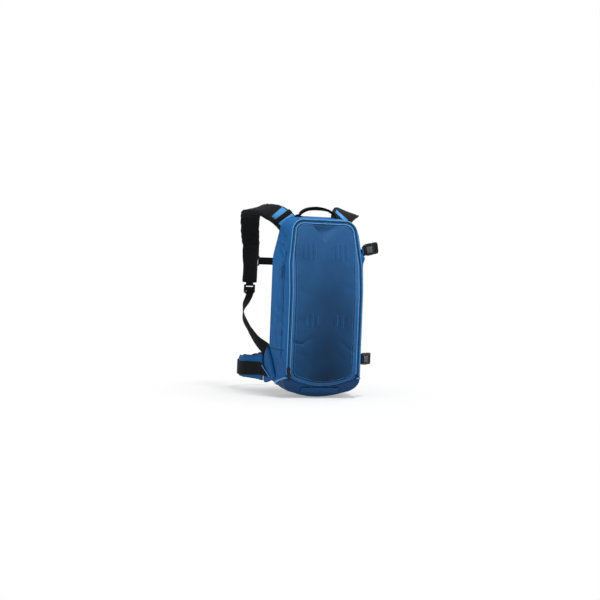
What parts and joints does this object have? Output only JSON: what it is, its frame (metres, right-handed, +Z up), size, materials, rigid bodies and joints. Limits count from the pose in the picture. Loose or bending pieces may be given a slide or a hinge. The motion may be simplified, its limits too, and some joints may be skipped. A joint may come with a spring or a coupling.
{
  "type": "hydration pack",
  "caption": "Slim cycling hydration pack with a zipped front panel, padded shoulder straps, a hip belt, buckled side straps and a reservoir inside.",
  "frame": {"origin": "middle of the lumbar pad's contact face, against the wearer's back", "axes": "+X to the wearer's right, +Y towards the wearer, +Z up"},
  "size_m": [0.3384, 0.3283, 0.5083],
  "materials": {
    "front_cloth": "coated, satin",
    "gusset_cloth": "woven, matte",
    "chin_cloth": "coated, satin",
    "tape_cloth": "woven, matte",
    "mesh_cloth": "air mesh, matte",
    "back_cloth": "woven, matte",
    "webbing": "woven, matte",
    "lining": "woven, matte",
    "buckle_plastic": "moulded, fine grain",
    "frame_plastic": "sheet, matte",
    "slider_metal": "satin black",
    "pull_rubber": "matte",
    "grommet_rubber": "matte",
    "reservoir_film": "translucent film",
    "cap_plastic": "moulded, satin",
    "loop_cloth": "woven, matte"
  },
  "bodies": {
    "pack": {"front_panel_hem": "front_cloth", "zip_tape_body": "tape_cloth", "side_zip_tape": "tape_cloth", "bottom_panel": "chin_cloth", "top_gusset": "gusset_cloth", "side_gusset_left": "gusset_cloth", "side_gusset_right": "gusset_cloth", "wing_root_left": "gusset_cloth", "wing_root_right": "gusset_cloth", "back_panel": "back_cloth", "lumbar_pad": "mesh_cloth", "back_pad_left": "mesh_cloth", "back_pad_right": "mesh_cloth", "shoulder_strap_left": "mesh_cloth", "shoulder_strap_right": "mesh_cloth", "frame_sheet": "frame_plastic", "hang_hook": "frame_plastic", "reservoir": "reservoir_film", "reservoir_neck": "cap_plastic", "reservoir_outlet": "cap_plastic", "reservoir_sleeve": "lining", "organizer_pocket": "lining", "hose_port": "grommet_rubber", "handle_feet": "webbing", "light_loop": "loop_cloth", "strap_rail_left": "buckle_plastic", "strap_rail_right": "buckle_plastic", "ladder_lock_left": "buckle_plastic", "ladder_lock_right": "buckle_plastic", "compression_socket_upper": "buckle_plastic", "compression_socket_lower": "buckle_plastic", "lower_strap_left": "webbing", "lower_strap_right": "webbing", "compression_tabs": "gusset_cloth"},
    "front_panel": {"front_panel": "front_cloth", "zip_tape_panel": "tape_cloth"},
    "main_slider": {"main_zip_slider": "slider_metal"},
    "main_pull": {"main_zip_pull": "pull_rubber"},
    "side_slider": {"side_zip_slider": "slider_metal"},
    "side_pull": {"side_zip_pull": "pull_rubber"},
    "handle": {"grab_handle": "gusset_cloth"},
    "hip_left": {"hip_wing_left": "gusset_cloth", "hip_web_left": "webbing", "hip_socket": "buckle_plastic"},
    "hip_right": {"hip_wing_right": "gusset_cloth", "hip_web_right": "webbing", "hip_plug": "buckle_plastic"},
    "sternum": {"sternum_clip_left": "buckle_plastic", "sternum_clip_right": "buckle_plastic", "sternum_web_left": "webbing", "sternum_socket": "buckle_plastic"},
    "sternum_release": {"sternum_plug": "buckle_plastic", "sternum_web_right": "webbing"},
    "compression_upper": {"compression_plug_upper": "buckle_plastic", "compression_web_upper": "webbing"},
    "compression_lower": {"compression_plug_lower": "buckle_plastic", "compression_web_lower": "webbing"},
    "cap": {"reservoir_cap": "cap_plastic"}
  },
  "joints": [
    {"name": "panel_fold", "type": "hinge", "parent": "pack", "child": "front_panel", "pos_m": [0, -0.1183, 0.0057], "axis": [1, 0, 0], "range_deg": [0, 95]},
    {"name": "main_zip", "type": "slide", "parent": "pack", "child": "main_slider", "axis": [0, 0, 1], "range_m": [0, 0.17]},
    {"name": "main_pull_swing", "type": "hinge", "parent": "main_slider", "child": "main_pull", "pos_m": [-0.09562, -0.123, -0.0015], "axis": [-1, 0, 0], "range_deg": [0, 150]},
    {"name": "side_zip", "type": "slide", "parent": "pack", "child": "side_slider", "axis": [0, 0, -1], "range_m": [0, 0.085]},
    {"name": "side_pull_swing", "type": "hinge", "parent": "side_slider", "child": "side_pull", "pos_m": [-0.11374, -0.08268, 0.258], "axis": [-0.0928, 0.9957, 0], "range_deg": [0, 150]},
    {"name": "handle_fold", "type": "hinge", "parent": "pack", "child": "handle", "pos_m": [0, -0.0174, 0.3944], "axis": [-1, 0, 0], "range_deg": [0, 70]},
    {"name": "hip_left_fold", "type": "hinge", "parent": "pack", "child": "hip_left", "pos_m": [-0.1247, 0.0087, -0.004], "axis": [0, 0, 1], "range_deg": [0, 60]},
    {"name": "hip_right_fold", "type": "hinge", "parent": "pack", "child": "hip_right", "pos_m": [0.1247, 0.0087, -0.004], "axis": [0, 0, -1], "range_deg": [0, 60]},
    {"name": "sternum_height", "type": "slide", "parent": "pack", "child": "sternum", "axis": [0, 0, 1], "range_m": [-0.02, 0.02]},
    {"name": "sternum_buckle", "type": "slide", "parent": "sternum", "child": "sternum_release", "axis": [1, 0, 0], "range_m": [0, 0.02], "deforming": ["sternum_web_right"]},
    {"name": "compression_upper_buckle", "type": "slide", "parent": "pack", "child": "compression_upper", "axis": [0.9324, 0.3008, 0.2005], "range_m": [0, 0.022], "deforming": ["compression_web_upper"]},
    {"name": "compression_lower_buckle", "type": "slide", "parent": "pack", "child": "compression_lower", "axis": [0.769, 0.6392, 0], "range_m": [0, 0.022], "deforming": ["compression_web_lower"]},
    {"name": "cap_turn", "type": "hinge", "parent": "pack", "child": "cap", "pos_m": [0, -0.0435, 0.286], "axis": [0, -1, 0], "continuous": true}
  ]
}
